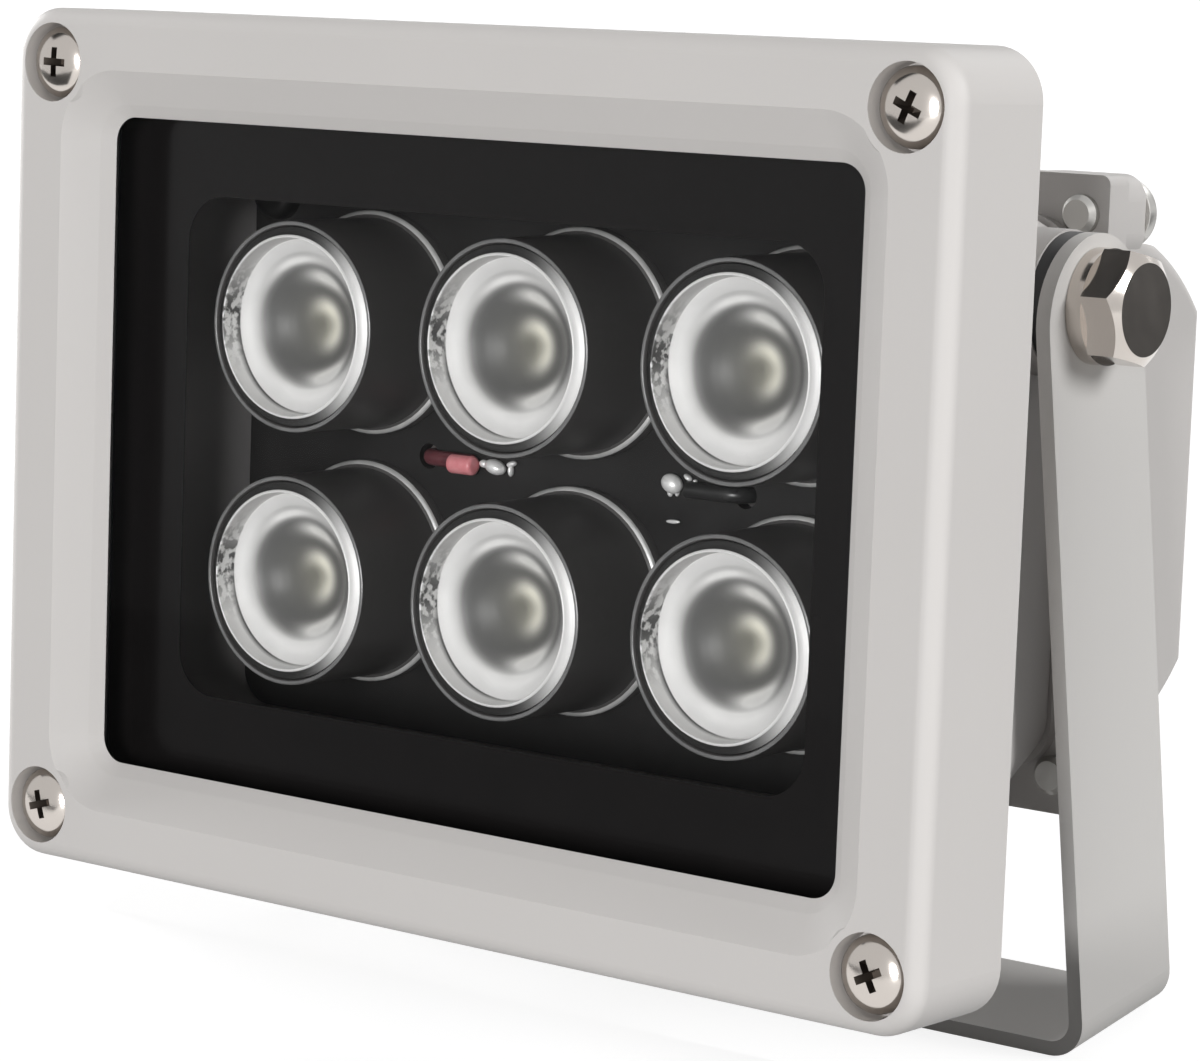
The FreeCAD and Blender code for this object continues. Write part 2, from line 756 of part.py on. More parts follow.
# Bracket: one strip of sheet bent to a U, its leg ends rounded over the pivot holes.
def bracket():
    outer = Part.makeBox(2 * bracket_half_width, leg_width, pivot_height + leg_top_above_pivot,
                         Vector(-bracket_half_width, -leg_width / 2, 0))
    bends = [e for e in outer.Edges
             if all(abs(v.Z) < near for v in e.Vertexes)
             and abs(abs(e.CenterOfMass.x) - bracket_half_width) < near]
    outer = outer.makeFillet(bend_radius, bends)
    inner = Part.makeBox(2 * leg_inner_x, leg_width, pivot_height + leg_top_above_pivot,
                         Vector(-leg_inner_x, -leg_width / 2, sheet))
    folds = [e for e in inner.Edges
             if all(abs(v.Z - sheet) < near for v in e.Vertexes)
             and abs(abs(e.CenterOfMass.x) - leg_inner_x) < near]
    strip = outer.cut(inner.makeFillet(bend_radius - sheet, folds))
    arc_z = pivot_height + leg_top_above_pivot - leg_width / 2
    rounded_end = rod(leg_width / 2, Vector(-bracket_half_width, 0, arc_z),
                      Vector(bracket_half_width, 0, arc_z))
    below = Part.makeBox(2 * bracket_half_width, leg_width, arc_z,
                         Vector(-bracket_half_width, -leg_width / 2, 0))
    strip = strip.common(fuse([rounded_end, below]))
    holes = [rod(pivot_bolt_radius + pivot_hole_play, Vector(-bracket_half_width, 0, pivot_height),
                 Vector(bracket_half_width, 0, pivot_height))]
    holes += [rod(base_hole_radius, Vector(x, 0, 0), Vector(x, 0, sheet))
              for x in (-base_hole_x, base_hole_x)]
    holes.append(rod(centre_hole_radius, Vector(0, 0, 0), Vector(0, 0, sheet)))
    return cut(strip, holes)


def place_head(shape):
    """Hang a piece of the head on the pivot, tipped up by the tilt angle."""
    shape.translate(Vector(0, -pivot_y, -pivot_z))
    shape.rotate(Vector(0, 0, 0), Vector(1, 0, 0), -tilt_deg)
    shape.translate(Vector(0, 0, pivot_height))
    return shape


head = {
    "front_bezel": front_bezel(),
    "bezel_screws": bezel_screws(),
    "front_glass": front_glass(),
    "glass_gasket": glass_gasket(),
    "main_housing": main_housing(),
    "led_board": led_board(),
    "led_emitters": led_emitters(),
    "led_board_screws": led_board_screws(),
    "red_lead": lead(-1),
    "black_lead": lead(1),
    "driver_board": driver_board(),
    "driver_inductor": driver_inductor(),
    "driver_capacitor": driver_capacitor(),
    "terminal_block": terminal_block(),
    "driver_board_screws": driver_board_screws(),
    "rear_gasket": rear_gasket(),
    "rear_cover": rear_cover(),
    "rear_cover_screws": rear_cover_screws(),
    "gland_body": gland_body(),
    "gland_seal": gland_seal(),
    "gland_cap": gland_cap(),
}
for number, (x, z) in enumerate(lens_places(), start=1):
    head[f"lens_holder_{number}"] = lens_holder(x, z)
    head[f"lens_{number}"] = lens(x, z)
for name, side in (("left", -1), ("right", 1)):
    head[f"pivot_bolt_{name}"] = pivot_bolt(side)
    head[f"spring_washer_{name}"] = spring_washer(side)
    head[f"friction_washer_{name}"] = friction_washer(side)

pieces = {"bracket": bracket()}
pieces.update({name: place_head(shape) for name, shape in head.items()})

os.makedirs("parts", exist_ok=True)
for name, shape in pieces.items():
    shape.exportStep(f"parts/{name}.step")
    kinds = len(shape.Solids)
    print(f"{name}: {kinds} solid(s), {shape.Volume:.1f} mm3, valid {shape.isValid()}")
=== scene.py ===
# %% [markdown]
# # An infrared illuminator on its bracket
# The real thing is a small die-cast lamp head, painted silver grey, that hangs between
# the two legs of a bent sheet-steel bracket. Behind a dark glass sit six lensed emitters.
# The solids are already made, so this lesson dresses them: it loads the frame, sets the
# camera and the light, writes the finishes as shader sums, and models the pieces whose
# looks need more than the plain solid has.

# %% Load the frame
import json
import math

import bpy
from mathutils import Matrix, Vector


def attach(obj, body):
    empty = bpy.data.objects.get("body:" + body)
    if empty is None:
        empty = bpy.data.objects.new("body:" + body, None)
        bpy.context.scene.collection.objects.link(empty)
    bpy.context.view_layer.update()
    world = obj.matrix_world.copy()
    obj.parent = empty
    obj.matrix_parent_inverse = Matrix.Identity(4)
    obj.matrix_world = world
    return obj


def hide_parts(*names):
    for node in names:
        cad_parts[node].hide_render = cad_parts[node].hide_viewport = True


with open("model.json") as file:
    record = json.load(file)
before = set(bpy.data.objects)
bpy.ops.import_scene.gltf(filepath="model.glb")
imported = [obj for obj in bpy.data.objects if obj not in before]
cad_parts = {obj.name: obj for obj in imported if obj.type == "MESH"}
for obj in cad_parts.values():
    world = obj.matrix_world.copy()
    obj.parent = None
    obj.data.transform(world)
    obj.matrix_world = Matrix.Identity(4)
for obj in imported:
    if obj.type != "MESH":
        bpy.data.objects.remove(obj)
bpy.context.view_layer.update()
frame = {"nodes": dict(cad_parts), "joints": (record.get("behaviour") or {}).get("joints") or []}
nodes = frame["nodes"]
bpy.context.scene.view_settings.view_transform = "Standard"

# %% [markdown]
# The head was drawn in its own frame: the origin is the middle of the bezel's face, +Y
# runs into the depth, and lengths are millimetres. Working in that frame keeps every
# number readable, so one matrix carries points from there to the part's frame: it moves
# the pivot to the origin, tips the head up, and lifts it to the pivot's height.

# %% The head's own frame
MM = 0.001
TILT = math.radians(10.2)
PIVOT_Y, PIVOT_Z = 36.15, 19.7
pivot_height = frame["joints"][0]["pos_m"][2]
HEAD = (Matrix.Translation((0, 0, pivot_height)) @ Matrix.Rotation(-TILT, 4, "X")
        @ Matrix.Scale(MM, 4) @ Matrix.Translation((0, -PIVOT_Y, -PIVOT_Z)))


def in_head(x, y, z):
    """A point of the head, in millimetres, brought into the part's frame."""
    return HEAD @ Vector((x, y, z))


print("bezel centre lies at", in_head(0, 0, 0))

# %% [markdown]
# The camera stands in front and to the right of the lit side, a little above it. Its place
# and its three directions were worked out in the head's frame from the bezel's corners, so
# they go through the same matrix. It stands close to the head, so the near side of the
# bezel looks clearly taller than the far side.

# %% Camera
LENS_MM, SENSOR_MM, NEAR_CLIP = 125.08, 36, 0.01
camera_place = in_head(254.11, -298.65, 46.13)
turn_head = Matrix.Rotation(-TILT, 3, "X")
camera_right = turn_head @ Vector((0.7842, 0.6195, 0.0363))
camera_up = turn_head @ Vector((-0.1062, 0.0762, 0.9914))
camera_back = camera_right.cross(camera_up).normalized()
camera_up = camera_back.cross(camera_right).normalized()

bpy.ops.object.camera_add(location=camera_place)
camera = bpy.context.object
camera.data.lens = LENS_MM
camera.data.sensor_width = SENSOR_MM
camera.data.clip_start = NEAR_CLIP
camera.matrix_world = Matrix.Translation(camera_place) @ Matrix(
    (camera_right, camera_up, camera_back)).transposed().to_4x4()
bpy.context.scene.camera = camera

# %% [markdown]
# A finish is a small graph of shader nodes. Drawn by hand such graphs get tangled, so one
# class wraps a socket and turns +, -, * and a few named steps into Math nodes. A second
# class holds a material and adds any other node with its settings and inputs.


# %% Shader sums
class Signal:
    """A number that varies over a surface, usable in sums."""

    def __init__(self, finish, socket):
        self.finish = finish
        self.socket = socket

    def math(self, operation, *others):
        inputs = dict(enumerate((self,) + others))
        return self.finish.node("ShaderNodeMath", {"operation": operation}, inputs)

    def __add__(self, other):
        return self.math("ADD", other)

    def __sub__(self, other):
        return self.math("SUBTRACT", other)

    def __mul__(self, other):
        return self.math("MULTIPLY", other)

    def __rsub__(self, other):
        return (self * -1) + other

    __radd__ = __add__
    __rmul__ = __mul__

    def above(self, edge, soft):
        """0 below the edge, 1 above it, with a ramp of the given softness between."""
        return ((self - edge) * (1 / soft) + 0.5).math("MINIMUM", 1.0).math("MAXIMUM", 0.0)


class Finish:
    """A material with one Principled shader."""

    def __init__(self, name, color, roughness, metallic=0.0, **settings):
        self.material = bpy.data.materials.new(name)
        self.material.use_nodes = True
        self.tree = self.material.node_tree
        self.shader = self.tree.nodes["Principled BSDF"]
        self.place = self.node("ShaderNodeTexCoord", out="Object")
        self.wire("Base Color", (*color, 1.0))
        self.wire("Roughness", roughness)
        self.wire("Metallic", metallic)
        for name_, value in settings.items():
            self.wire(name_.replace("_", " "), value)

    def node(self, kind, settings=None, inputs=None, out=0):
        made = self.tree.nodes.new(kind)
        for key, value in (settings or {}).items():
            if key == "stops":
                for stop, (at, color) in zip(made.color_ramp.elements, value):
                    stop.position, stop.color = at, (*color, 1.0)
            else:
                setattr(made, key, value)
        for key, value in (inputs or {}).items():
            self.feed(made.inputs[key], value)
        return Signal(self, made.outputs[out])

    def feed(self, socket, value):
        if isinstance(value, Signal):
            self.tree.links.new(value.socket, socket)
        else:
            socket.default_value = value

    def wire(self, name, value):
        self.feed(self.shader.inputs[name], value)

    def noise(self, size, detail=2.0, place=None):
        """Clouds about the given size in millimetres across, from 0 to 1."""
        return self.node("ShaderNodeTexNoise", None,
                         {"Vector": place or self.place, "Scale": 1 / (size * MM), "Detail": detail})

    def mix(self, factor, low, high):
        """A colour between two colours."""
        as_color = [(*c, 1.0) if isinstance(c, tuple) else c for c in (low, high)]
        return self.node("ShaderNodeMix", {"data_type": "RGBA"},
                         {0: factor, 6: as_color[0], 7: as_color[1]}, out=2)

    def mottle(self, size, low, high):
        """A Base Color that drifts between two colours in clouds of the given size."""
        self.wire("Base Color", self.mix(self.noise(size, 2.0), low, high))

    def bump(self, height, depth_mm, strength=1.0):
        self.wire("Normal", self.node("ShaderNodeBump", None, {
            "Height": height, "Distance": depth_mm * MM, "Strength": strength}))

    def from_head(self):
        """Object coordinates turned back into the head's frame, in millimetres."""
        back = HEAD.inverted()
        turned = self.node("ShaderNodeMapping", {"vector_type": "POINT"}, {
            "Vector": self.place, "Location": back.to_translation(),
            "Rotation": back.to_euler(), "Scale": back.to_scale()})
        parts = self.tree.nodes.new("ShaderNodeSeparateXYZ")
        self.feed(parts.inputs[0], turned)
        return [Signal(self, parts.outputs[axis]) for axis in range(3)]


def dress(finish, *names):
    """Give CAD nodes a finish."""
    for name in names:
        mesh = nodes[name].data
        mesh.materials.clear()
        mesh.materials.append(finish.material)


# %% [markdown]
# The paint is a satin silver grey, sprayed over a casting, so up close it has a fine
# orange-peel ripple and a slight unevenness of tone. The bracket is steel sheet with the
# same paint, only flatter. Both come from one function.


# %% Paint on castings and sheet
def silver_paint(name, color, ripple_mm):
    paint = Finish(name, color, 0.52, Specular_IOR_Level=0.28)
    drift = paint.noise(26.0, 3.0).above(0.5, 0.9)
    grain = paint.noise(0.45, 2.0)
    darker = tuple(0.955 * c for c in color)
    paint.wire("Base Color", paint.mix(drift * 0.75 + grain * 0.25, darker, color))
    paint.wire("Roughness", 0.48 + drift * 0.12)
    paint.bump(grain * 0.5 + paint.noise(1.6, 1.0), ripple_mm, 0.35)
    return paint


SILVER = (0.580, 0.560, 0.545)
cast_paint = silver_paint("cast_paint", SILVER, 0.020)
sheet_paint = silver_paint("sheet_paint", (0.570, 0.556, 0.540), 0.014)
dress(cast_paint, "front_bezel", "rear_cover")
dress(sheet_paint, "bracket")

# %% [markdown]
# The inside of the tub's light chamber is painted a darker grey than the paint outside:
# painted shade, where the same silver paint lies in shade. It is the same casting, so the
# painted shade is a mask in the head's own frame: near enough to the middle in
# width and height, and in front of the chamber's floor.

# %% Housing with painted shade in the chamber
CHAMBER_X, CHAMBER_Z, CHAMBER_DEEP, MASK_SOFT = 46.0, 30.0, 26.0, 0.3
CHAMBER_SHADE_GREY = (0.46, 0.445, 0.437)
housing_paint = silver_paint("housing_paint", SILVER, 0.020)
across, deep, upward = housing_paint.from_head()
inside = ((CHAMBER_X - across.math("ABSOLUTE")).above(0.0, MASK_SOFT)
          * (CHAMBER_Z - upward.math("ABSOLUTE")).above(0.0, MASK_SOFT)
          * (CHAMBER_DEEP - deep).above(0.0, MASK_SOFT))
painted = Signal(housing_paint, housing_paint.shader.inputs["Base Color"].links[0].from_socket)
# Painted shade: the chamber's inside is mixed towards a darker grey.
housing_paint.wire("Base Color", housing_paint.mix(inside, painted, CHAMBER_SHADE_GREY))
dress(housing_paint, "main_housing")

# %% [markdown]
# The screws and bolts are nickel-plated steel: a warm mirror, a little dulled. Fine
# scratches run over it, made from noise stretched along one direction.


# %% Plated steel
def plated(name, color, roughness):
    metal = Finish(name, color, roughness, 1.0)
    streak = metal.node("ShaderNodeMapping", {"vector_type": "POINT"},
                        {"Vector": metal.place, "Scale": (1.0, 0.12, 1.0)})
    scratch = metal.noise(0.12, 3.0, streak)
    cloud = metal.noise(2.2, 2.0)
    metal.wire("Roughness", roughness * 0.7 + cloud * roughness * 0.7)
    metal.bump(scratch, 0.004, 0.3)
    return metal


nickel = plated("nickel_plate", (0.60, 0.555, 0.515), 0.15)
zinc = plated("zinc_plate", (0.50, 0.49, 0.47), 0.34)
dress(nickel, "pivot_bolt_left", "pivot_bolt_right", "bezel_screws",
      "spring_washer_left", "spring_washer_right")
dress(zinc, "driver_board_screws")
blackened = plated("black_oxide", (0.035, 0.034, 0.034), 0.45)
dress(blackened, "led_board_screws")

# %% [markdown]
# Rubber, nylon and boards are dark and dull. Each still gets its own grain, because a
# perfectly even black looks like a hole.


# %% Rubber, nylon and boards
def dark_stuff(name, color, roughness, grain_mm, bump_mm):
    stuff = Finish(name, color, roughness)
    grain = stuff.noise(grain_mm, 3.0)
    lighter = tuple(1.5 * c + 0.004 for c in color)
    stuff.wire("Base Color", stuff.mix(grain, color, lighter))
    stuff.wire("Roughness", roughness - 0.08 + grain * 0.16)
    stuff.bump(grain, bump_mm, 0.4)
    return stuff


rubber = dark_stuff("black_rubber", (0.014, 0.014, 0.014), 0.75, 0.6, 0.03)
nylon = dark_stuff("black_nylon", (0.018, 0.018, 0.019), 0.45, 0.5, 0.02)
board_black = dark_stuff("black_board", (0.010, 0.0095, 0.0095), 0.45, 3.0, 0.01)
board_black.wire("Specular IOR Level", 0.35)
board_green = dark_stuff("green_board", (0.02, 0.12, 0.05), 0.35, 3.0, 0.01)
ferrite = dark_stuff("ferrite", (0.05, 0.05, 0.05), 0.6, 0.8, 0.02)
terminal_green = dark_stuff("terminal_plastic", (0.03, 0.16, 0.06), 0.4, 0.6, 0.01)
black_sleeve = dark_stuff("black_sleeve", (0.02, 0.02, 0.02), 0.30, 0.5, 0.01)
dress(rubber, "glass_gasket", "rear_gasket", "gland_seal")
dress(nylon, "gland_body", "gland_cap", "friction_washer_left", "friction_washer_right")
dress(board_black, "led_board")
dress(board_green, "driver_board")
dress(ferrite, "driver_inductor")
dress(terminal_green, "terminal_block")
dress(black_sleeve, "black_lead")
dress(zinc, "driver_capacitor")

# %% [markdown]
# The front glass is seen through. A pane in a picture this size hardly bends the light, so
# low alpha is enough to let the inside show. Alpha thins the pane's gloss as well, which
# suits this one, because hardly any mirror images show in it.

# %% Glass
pane = Finish("front_pane", (0.02, 0.02, 0.02), 0.03, Alpha=0.07, Specular_IOR_Level=0.30)
smear = pane.noise(18.0, 3.0)
pane.wire("Roughness", 0.02 + smear * 0.03)
dress(pane, "front_glass")

# %% [markdown]
# New pieces start as a primitive in the head's frame and are shaped in edit mode. These
# helpers keep each step short: one clears the selection, one leaves edit mode and bakes a
# piece's place into its mesh, and one selects faces or edges by where they are.


# %% Modelling helpers
def deselect():
    if bpy.context.object and bpy.context.object.mode != "OBJECT":
        bpy.ops.object.mode_set(mode="OBJECT")
    bpy.ops.object.select_all(action="DESELECT")


def named(name, finish):
    piece = bpy.context.object
    piece.name = name
    piece.data.name = name
    piece.data.materials.clear()
    piece.data.materials.append(finish.material)
    return piece


def pick(piece, kind, test):
    """Select the mesh's faces, edges or verts whose middle passes the test."""
    bpy.ops.object.mode_set(mode="EDIT")
    bpy.ops.mesh.select_mode(type=kind)
    bpy.ops.mesh.select_all(action="DESELECT")
    bpy.ops.object.mode_set(mode="OBJECT")
    mesh = piece.data
    if kind == "FACE":
        for face in mesh.polygons:
            face.select = test(face.center, face.normal)
    elif kind == "EDGE":
        for edge in mesh.edges:
            ends = [mesh.vertices[v].co for v in edge.vertices]
            edge.select = test(ends[0], ends[1])
    else:
        for vert in mesh.vertices:
            vert.select = test(vert.co, vert.normal)
    bpy.ops.object.mode_set(mode="EDIT")


def bake(piece, matrix):
    """Leave edit mode and move the mesh itself, so the object stays at the origin."""
    deselect()
    piece.select_set(True)
    bpy.context.view_layer.objects.active = piece
    piece.matrix_world = matrix @ piece.matrix_world
    bpy.ops.object.transform_apply(location=True, rotation=True, scale=True)
    return piece


def lathe(name, finish, profile, steps=64):
    """Turn a profile of (radius, depth) points about the depth axis."""
    deselect()
    bpy.ops.mesh.primitive_plane_add(size=1)
    piece = named(name, finish)
    pick(piece, "VERT", lambda co, normal: co.x < 0 or co.y < 0)
    bpy.ops.mesh.delete(type="VERT")
    bpy.ops.mesh.select_all(action="SELECT")
    bpy.ops.object.mode_set(mode="OBJECT")
    piece.data.vertices[0].co = (profile[0][0], profile[0][1], 0)
    bpy.ops.object.mode_set(mode="EDIT")
    for (r0, y0), (r1, y1) in zip(profile, profile[1:]):
        bpy.ops.mesh.extrude_region_move(TRANSFORM_OT_translate={"value": (r1 - r0, y1 - y0, 0)})
    bpy.ops.mesh.select_all(action="SELECT")
    bpy.ops.mesh.spin(steps=steps, angle=2 * math.pi, center=(0, 0, 0), axis=(0, 1, 0))
    bpy.ops.mesh.select_all(action="SELECT")
    bpy.ops.mesh.remove_doubles(threshold=1e-4)
    bpy.ops.mesh.normals_make_consistent(inside=False)
    bpy.ops.object.mode_set(mode="OBJECT")
    return piece


def smooth(piece, angle_deg=35):
    deselect()
    piece.select_set(True)
    bpy.context.view_layer.objects.active = piece
    bpy.ops.object.shade_smooth_by_angle(angle=math.radians(angle_deg))


def copy_to(piece, name, matrix):
    """A copy with its own mesh, moved by the matrix."""
    deselect()
    piece.select_set(True)
    bpy.context.view_layer.objects.active = piece
    bpy.ops.object.duplicate()
    twin = bpy.context.object
    twin.name = name
    twin.data.name = name
    return bake(twin, matrix)


def joined(name, pieces):
    deselect()
    for piece in pieces:
        piece.select_set(True)
    bpy.context.view_layer.objects.active = pieces[0]
    bpy.ops.object.join()
    pieces[0].name = name
    return pieces[0]


# %% [markdown]
# The glass carries a black printed border on its back. It is a flat ring with rounded
# corners: a plane the size of the window gets its corners bevelled, its outline is
# extruded and scaled out to the glass's edge, and the window itself is deleted.

# %% Printed border
WINDOW_X, WINDOW_Z, WINDOW_ROUND = 39.3, 25.4, 4.6
GLASS_X, GLASS_Z, GLASS_BACK = 49.3, 36.3, 7.3
INK_THICK, INK_INSET = 0.06, 0.12
ink = Finish("printed_ink", (0.006, 0.006, 0.006), 0.20, Specular_IOR_Level=0.20)
ink.mottle(4.0, (0.0045, 0.004, 0.004), (0.0075, 0.0065, 0.0065))

deselect()
bpy.ops.mesh.primitive_plane_add(size=2, rotation=(math.pi / 2, 0, 0))
border = named("printed_border", ink)
border.scale = (WINDOW_X, WINDOW_Z, 1)
bake(border, Matrix.Identity(4))
pick(border, "VERT", lambda co, normal: True)
bpy.ops.mesh.bevel(offset=WINDOW_ROUND, segments=8, affect="VERTICES")
bpy.ops.mesh.select_mode(type="EDGE")
bpy.ops.mesh.select_all(action="SELECT")
bpy.ops.mesh.extrude_edges_move()
bpy.ops.transform.resize(value=(GLASS_X / WINDOW_X, 1, GLASS_Z / WINDOW_Z))
pick(border, "FACE", lambda co, normal: abs(co.x) < 1 and abs(co.z) < 1)
bpy.ops.mesh.delete(type="FACE")
bpy.ops.object.mode_set(mode="OBJECT")
thick = border.modifiers.new("thickness", "SOLIDIFY")
thick.thickness = INK_THICK
bpy.ops.object.modifier_apply(modifier=thick.name)
bake(border, HEAD @ Matrix.Translation((0, GLASS_BACK - INK_INSET, 0)))
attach(border, "head")
print("border faces:", len(border.data.polygons))

# %% [markdown]
# Each collimator is a clear moulding: a thin flange in front, then a cone whose flank
# mirrors the light forward. From in front it looks like a bright ring round a darker
# middle, in which images of the emitter hang as short arcs. Turned glass that really bends
# light would need far more render time than it earns here, so the turned shape is opaque
# and silvery, and its ring, middle and arcs are painted on as an attribute on its points:
# painted reflections and highlights, with painted shade between them. The amber in the
# middle stands for the emitter seen through the lens.

# %% Lens finishes
silvering = Finish("lens_flank", (0.62, 0.62, 0.61), 0.42, 0.06, Specular_IOR_Level=0.3)
LENS_LAYERS = ("tone", "speck", "amber")
tone, speck, amber = [silvering.node("ShaderNodeAttribute", {"attribute_name": name}, out="Fac")
                      for name in LENS_LAYERS]
grit = silvering.noise(0.9, 2.0).above(0.50, 0.12)
fleck = silvering.noise(2.4, 2.0)
level = tone * (1 - speck * grit * 0.9) * (0.92 + fleck * 0.16)
tint = silvering.mix(amber, (1.0, 0.995, 0.985), (1.0, 0.97, 0.80))
# The painted light and shade of the lens set its Base Color.
silvering.wire("Base Color", silvering.mix(level, (0.010, 0.010, 0.010), tint))
silvering.wire("Roughness", 0.36 + fleck * 0.10)
clear = Finish("lens_clear", (0.9, 0.9, 0.9), 0.04, Alpha=0.05, Specular_IOR_Level=0.4)
clear.wire("Roughness", 0.03 + clear.noise(4.0, 2.0) * 0.03)

# %% Painted light over the lens
BOARD_FACE = 23.0
LENS_FRONT, LENS_R, BOWL_R, BOWL_DEEP = 9.35, 9.2, 8.78, 2.3
# Painted light and shade of the disc: radius in mm and how light it is painted there.
DISC_PAINTED_LIGHT = ((0.0, 0.20), (2.4, 0.11), (4.6, 0.085), (5.7, 0.10), (6.2, 0.17),
              (6.6, 0.46), (7.0, 0.66), (8.5, 0.76), (9.9, 0.80))
# Painted highlights as arcs, painted shade where the gain is below zero: radius and its width in mm,
# angle and its spread in degrees, gain.
PAINTED_ARCS = ((6.6, 0.36, 106, 27, 0.62), (5.0, 0.70, 72, 26, 1.25), (5.35, 0.66, -64, 25, 1.7),
        (7.0, 0.9, 0, 38, -0.34), (7.0, 0.9, -88, 50, 0.34), (7.8, 0.8, 182, 44, 0.28),
        (6.5, 0.5, -80, 44, 0.32), (7.25, 0.13, 100, 30, -0.28),
        (1.9, 0.8, 62, 60, 0.80), (2.0, 0.85, -38, 46, 0.55), (1.2, 1.2, 0, 90, 0.20),
        (5.2, 1.0, 0, 34, 0.10))


def near(angle_deg, middle, wide):
    """1 in the middle of a span of degrees, falling off fast past its width."""
    return math.exp(-(((angle_deg - middle + 180) % 360 - 180) / wide) ** 4)


def painted_light_at(radius, angle_deg, depth):
    """The painted light and shade of the lens at a point of its turned surface."""
    # The outer wall: a painted highlight on its right side, painted shade on the rest.
    if radius > LENS_R + 0.02:
        return 0.03 + 0.97 * near(angle_deg, 0, 52)
    # The front rim is painted white as a highlight, and the inner wall gets painted shade towards the
    # upper left.
    if radius > BOWL_R + 0.02:
        return 1.0 if depth < 0.25 else 1.0 - 0.35 * near(angle_deg, 130, 50)
    # Where the wall meets the bowl: a dark line of painted shade at the lower left.
    if radius > BOWL_R - 0.1:
        return 0.8 - 0.72 * near(angle_deg, 226, 46)
    for (r0, t0), (r1, t1) in zip(DISC_PAINTED_LIGHT, DISC_PAINTED_LIGHT[1:]):
        if r0 <= radius <= r1:
            value = t0 + (t1 - t0) * (radius - r0) / (r1 - r0)
            break
    for at_r, wide_r, at_deg, wide_deg, gain in PAINTED_ARCS:
        off = (angle_deg - at_deg + 180) % 360 - 180
        value += gain * math.exp(-((radius - at_r) / wide_r) ** 2 - (off / wide_deg) ** 2)
    return min(max(value, 0.02), 1.0)


# %% Lens body and cap
SPECK_AT, SPECK_WIDE, AMBER_R = 174, 24, 3.6
body_profile = [
    (9.98, 1.2), (9.98, 0.64), (9.65, 0.44), (9.24, 0.2), (LENS_R, 0.12), (9.1, 0.02),
    (9.03, 0.0), (8.96, 0.05), (8.92, 0.3), (8.88, 0.9), (8.84, 1.6), (BOWL_R, BOWL_DEEP),
    (8.62, 2.34), (8.3, 2.42), (7.6, 2.55), (6.9, 2.75), (6.3, 3.0), (5.7, 3.4), (5.0, 3.95),
    (4.2, 4.45), (3.2, 4.9), (2.0, 5.25), (0.9, 5.4), (0.0, 5.45)]
lens_body = lathe("lens_body", silvering, [(r, LENS_FRONT + y) for r, y in body_profile], 72)
pick(lens_body, "FACE", lambda co, normal: math.hypot(co.x, co.z) < BOWL_R)
bpy.ops.mesh.subdivide(number_cuts=2)
bpy.ops.object.mode_set(mode="OBJECT")
layers = {name: lens_body.data.attributes.new(name, "FLOAT", "POINT") for name in LENS_LAYERS}
for vert in lens_body.data.vertices:
    radius = math.hypot(vert.co.x, vert.co.z)
    angle = math.degrees(math.atan2(vert.co.z, vert.co.x))
    layers["tone"].data[vert.index].value = painted_light_at(radius, angle, vert.co.y - LENS_FRONT)
    layers["amber"].data[vert.index].value = math.exp(-(radius / AMBER_R) ** 2)
    off = (angle + 360) % 360 - SPECK_AT
    speckled = math.exp(-(off / SPECK_WIDE) ** 2) if radius > BOWL_R - 0.02 else 0.0
    layers["speck"].data[vert.index].value = speckled
smooth(lens_body, 40)
cap_profile = [(8.7, 2.2), (8.0, 1.9), (6.5, 1.7), (4.4, 1.35), (2.2, 1.15), (0.0, 1.1)]
cap = lathe("lens_cap", clear, [(r, LENS_FRONT + y) for r, y in cap_profile], 48)
smooth(cap, 40)
lens_model = joined("lens_model", [lens_body, cap])
print("lens triangles about", 2 * len(lens_model.data.polygons))

PITCH_X, PITCH_Z = 27.4, 25.66
lens_places = [(column * PITCH_X, row * PITCH_Z / 2) for row in (1, -1) for column in (-1, 0, 1)]
for number, (x, z) in enumerate(lens_places, start=1):
    lens = copy_to(lens_model, f"collimator_{number}", HEAD @ Matrix.Translation((x, 0, z)))
    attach(lens, "head")
    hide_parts(f"lens_{number}")
bpy.data.objects.remove(lens_model)

# %% [markdown]
# The holder is a black cup on a foot ring. What the eye catches are its two rims: a soft
# grey line round the mouth and a pale line round the foot. So the cup is turned with
# rounded rims, and the faces of each rim are painted paler: a grey painted highlight on the
# mouth and a pale painted highlight on the foot.

# %% Lens holders
holder_black = Finish("holder_black", (0.080, 0.077, 0.076), 0.42)
grain = holder_black.noise(0.7, 2.0)
holder_black.wire("Base Color", holder_black.mix(grain, (0.060, 0.058, 0.057), (0.085, 0.082, 0.081)))
holder_black.bump(grain, 0.02, 0.3)
# Painted highlights: pale round the foot, grey round the mouth.
holder_foot_highlight = Finish("holder_foot_highlight", (0.80, 0.80, 0.79), 0.3, 0.4)
holder_foot_highlight.mottle(2.5, (0.45, 0.45, 0.45), (1.0, 1.0, 0.98))
holder_mouth_highlight = Finish("holder_mouth_highlight", (0.16, 0.16, 0.16), 0.25)
holder_mouth_highlight.mottle(2.5, (0.13, 0.13, 0.13), (0.26, 0.26, 0.26))

LIP_Y, SEAT_Y = 9.65, LENS_FRONT + BOWL_DEEP + 0.45
cup_profile = [
    (9.0, BOARD_FACE), (9.0, SEAT_Y), (9.9, SEAT_Y), (10.0, LIP_Y + 0.9), (10.1, LIP_Y + 0.25),
    (10.18, LIP_Y + 0.08), (10.28, LIP_Y), (10.44, LIP_Y), (10.56, LIP_Y + 0.1),
    (10.62, LIP_Y + 0.45), (10.75, 21.4), (11.05, 21.5), (11.3, 21.58), (11.45, 21.8),
    (11.45, BOARD_FACE), (9.0, BOARD_FACE)]
cup = lathe("holder_model", holder_black, cup_profile)
cup.data.materials.append(holder_mouth_highlight.material)
cup.data.materials.append(holder_foot_highlight.material)
